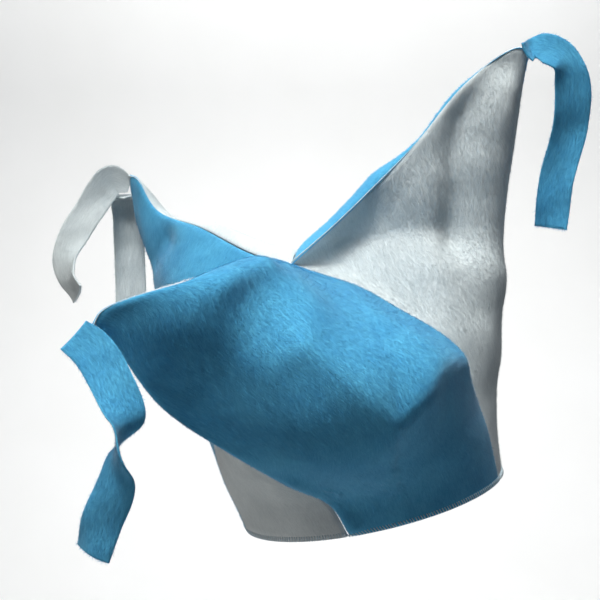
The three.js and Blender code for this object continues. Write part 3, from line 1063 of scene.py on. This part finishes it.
@dataclass
class Studio:
    """A pale floor that sweeps up behind the hat, soft light from above, and the camera."""

    floor_z: float = -0.8
    camera_at: Point = (-0.05326, -0.87589, 0.25137)
    camera_pitch: float = 83.0
    lens: float = 74.52
    sky: str = "#C9DBF2"
    sky_strength: float = 0.08

    FLOOR_SIDE = 6.0
    FLOOR_MIDDLE_Y = -0.5
    WALL_HEIGHT = 4.0
    SWEEP_RADIUS = 1.2
    SWEEP_STEPS = 16
    SENSOR_WIDTH = 36.0

    def floor(self) -> None:
        """A pale sweep of painted board under and behind the hat."""
        bpy.ops.object.select_all(action="DESELECT")
        bpy.ops.mesh.primitive_plane_add(
            size=self.FLOOR_SIDE, location=(0, self.FLOOR_MIDDLE_Y, self.floor_z),
        )
        floor = bpy.context.object
        floor.name = "floor"
        bpy.ops.object.transform_apply(location=True, rotation=True, scale=True)
        bpy.ops.object.mode_set(mode="EDIT")
        bpy.ops.mesh.select_all(action="DESELECT")
        bpy.ops.object.mode_set(mode="OBJECT")
        for edge in floor.data.edges:
            edge.select = all(floor.data.vertices[k].co.y > self.FLOOR_MIDDLE_Y for k in edge.vertices)
        bpy.ops.object.mode_set(mode="EDIT")
        bpy.ops.mesh.select_mode(type="EDGE")
        bpy.ops.mesh.extrude_region_move(TRANSFORM_OT_translate={"value": (0, 0, self.WALL_HEIGHT)})
        bpy.ops.object.mode_set(mode="OBJECT")
        bevel = floor.modifiers.new("sweep", "BEVEL")
        bevel.width, bevel.segments, bevel.limit_method = self.SWEEP_RADIUS, self.SWEEP_STEPS, "ANGLE"
        bpy.ops.object.modifier_apply(modifier="sweep")
        bpy.ops.object.shade_smooth()
        floor.data.materials.append(BoardFinish().material())

    def world(self) -> None:
        """A faint cool light from all round, as from a large room."""
        world = bpy.data.worlds.new("studio")
        world.use_nodes = True
        back = world.node_tree.nodes["Background"]
        back.inputs["Color"].default_value = linear(self.sky)
        back.inputs["Strength"].default_value = self.sky_strength
        bpy.context.scene.world = world

    def camera(self) -> None:
        """The camera at the photo's angle."""
        camera = bpy.data.cameras.new("camera")
        camera.lens, camera.sensor_width = self.lens, self.SENSOR_WIDTH
        eye = add_object("camera", camera)
        eye.location = self.camera_at
        eye.rotation_euler = (math.radians(self.camera_pitch), 0, 0)
        bpy.context.scene.camera = eye

    def build(self) -> None:
        """Makes the floor, lights, world and camera."""
        self.floor()
        for light in LIGHTS:
            light.build()
        self.world()
        self.camera()
        bpy.context.scene.view_settings.view_transform = "Standard"


PANELS = [
    FleecePanel(
        "front_horn_blue", Cloth.BLUE, HornName.FRONT, ValleyName.FRONT_RIGHT,
        swell=34, full_at=0.5, flat=(0.26, 0.3), flat_area=0.0495,
        folds=(
            # The roll along the crest, the wide dent in the flank and a shallow one towards the valley.
            Fold(((0.46, 0.93), (0.54, 0.94), (0.63, 0.945)), 7, 12, 12),
            Fold(((0.66, 0.74), (0.76, 0.7), (0.86, 0.67)), -13, 48, 31),
            Fold(((0.3, 0.78), (0.42, 0.64)), -6, 22, 22),
            # The edge that lies over the white panel at the low seam.
            Fold(((0.965, 0.03), (0.965, 0.28)), 4, 8, 8),
            # The flat top beside the valley, whose edge turns down into the flank in a wide V.
            Fold(
                ((0.62, 0.66), (0.61, 0.54), (0.58, 0.385), (0.45, 0.405), (0.3, 0.43), (0.12, 0.41)),
                22, 38, 20, FoldForm.CREASE,
            ),
        ),
    ),
    FleecePanel(
        "front_horn_white", Cloth.WHITE, HornName.FRONT, ValleyName.BACK_FRONT,
        swell=22, full_at=0.9, flat=(0.2, 0.26), flat_area=0.0275,
        folds=(
            # It draws in along the horn's two seams.
            Fold(((0.3, 0.94), (0.6, 0.94)), -5, 12, 12),
            Fold(((0.93, 0.35), (0.93, 0.6)), -3, 10, 10),
        ),
    ),
    FleecePanel(
        "right_horn_white", Cloth.WHITE, HornName.RIGHT, ValleyName.FRONT_RIGHT,
        swell=28, full_at=0.7, flat=(0.21, 0.3), flat_area=0.033,
        folds=(
            # The pocket under the ridge.
            Fold(((0.17, 0.98), (0.2, 0.92), (0.31, 0.83), (0.46, 0.73)), -24, 44, 56, FoldForm.CREASE),
            # The long groove down from the tip, with its shallow end.
            Fold(
                ((0.88, 0.98), (0.81, 0.95), (0.73, 0.91), (0.66, 0.83), (0.62, 0.74), (0.54, 0.65)),
                -8, 14, 12,
            ),
            Fold(((0.54, 0.65), (0.44, 0.55), (0.41, 0.47)), -4, 12, 14),
            # The ridge at the right edge and the soft fold below it.
            Fold(((0.93, 0.9), (0.93, 0.78), (0.9, 0.7), (0.87, 0.59), (0.8, 0.5)), 12, 13, 28),
            Fold(((0.77, 0.42), (0.74, 0.28)), 7, 16, 24),
        ),
    ),
    FleecePanel(
        "right_horn_blue", Cloth.BLUE, HornName.RIGHT, ValleyName.RIGHT_BACK,
        swell=30, full_at=0.6, flat=(0.22, 0.3), flat_area=0.0375,
        folds=(
            # The back of the ridge, a little higher than the seam, and a soft hanging fold.
            Fold(((0.05, 0.92), (0.35, 0.95)), 3, 15, 15),
            Fold(((0.62, 0.9), (0.45, 0.45)), -8, 20, 20),
        ),
    ),
    FleecePanel(
        "back_horn_blue", Cloth.BLUE, HornName.BACK, ValleyName.BACK_FRONT,
        swell=24, full_at=0.9, flat=(0.21, 0.28), flat_area=0.031,
        folds=(
            # The dent beside the horn's neck.
            Fold(((0.66, 0.92), (0.76, 0.84)), -5, 14, 14),
        ),
    ),
    FleecePanel(
        "back_horn_white", Cloth.WHITE, HornName.BACK, ValleyName.RIGHT_BACK,
        swell=28, full_at=0.6, flat=(0.21, 0.29), flat_area=0.033,
        folds=(
            # The back of the ridge, the part that shows beside the tip, and a soft hanging fold.
            Fold(((0.05, 0.92), (0.5, 0.95)), 4, 15, 15),
            Fold(((0.78, 0.92), (0.93, 0.93)), 8, 14, 14),
            Fold(((0.55, 0.85), (0.5, 0.45)), -6, 20, 20),
        ),
    ),
]

RIBBONS = [
    FleeceRibbon(
        "front_ribbon", Cloth.BLUE, HornName.FRONT, below=0, clear=2.35, hold=0.85, neck=0.9, length=168,
        steps=(
            RibbonStep(2, -10, -13, 10, 30), RibbonStep(15, -24, -29, 18, 26),
            RibbonStep(25, -38, -49, 50, 12), RibbonStep(21, -41, -67, 110, 0),
            RibbonStep(20, -38, -83, 150, 0), RibbonStep(10, -35, -108, 160, 10),
            RibbonStep(4, -33, -128, 150, 5),
        ),
    ),
    FleeceRibbon(
        "right_ribbon", Cloth.BLUE, HornName.RIGHT, below=0, clear=0.4, hold=0, neck=0.6, length=160,
        steps=(
            RibbonStep(10, 0, 1, 90, 60), RibbonStep(23, -2, -6, 45, 50), RibbonStep(29, -2, -21, 5, 15),
            RibbonStep(29, 0, -53, 0, 0), RibbonStep(21, 3, -90, -30, -5), RibbonStep(17, 3, -126, -35, 0),
        ),
        lap=RibbonStep(-3.5, -5, -2, 180, 56),
    ),
    FleeceRibbon(
        "back_ribbon_outer", Cloth.WHITE, HornName.BACK, below=9, clear=0, hold=0, neck=0.5, length=140,
        steps=(
            RibbonStep(-14, 2, -5, 0, -70), RibbonStep(-23, -2, -15, -10, -48),
            RibbonStep(-30, -8, -27, -20, -34), RibbonStep(-41, -18, -45, -25, -30),
            RibbonStep(-48, -30, -66, -40, -10), RibbonStep(-45, -39, -80, -50, 0),
            RibbonStep(-36, -46, -93, -55, 15),
        ),
    ),
    FleeceRibbon(
        "back_ribbon_hanging", Cloth.WHITE, HornName.BACK, below=20, clear=0.3, hold=0, neck=0.5, length=160,
        steps=(
            RibbonStep(-4, 13, -20, 20, 0), RibbonStep(-3, 12, -36, 15, 0), RibbonStep(-2, 9, -55, 10, 0),
            RibbonStep(0, 0, -94, 0, 0), RibbonStep(2, -16, -153, 15, 0),
        ),
    ),
]


def main() -> None:
    """Builds the hat's pieces in order and reports them."""
    logging.basicConfig(level=logging.INFO, format="%(message)s")
    pile = Pile()
    for panel in PANELS:
        twin = next(other for other in PANELS if other.horn is panel.horn and other is not panel)
        panel.build(twin, pile)
        panel.dress()
    for ribbon in RIBBONS:
        ribbon.build(pile)
        ribbon.dress()
    stitching = BrimStitching()
    stitching.build(PANELS)
    stitching.dress()
    Studio().build()


if __name__ == "__main__":
    main()
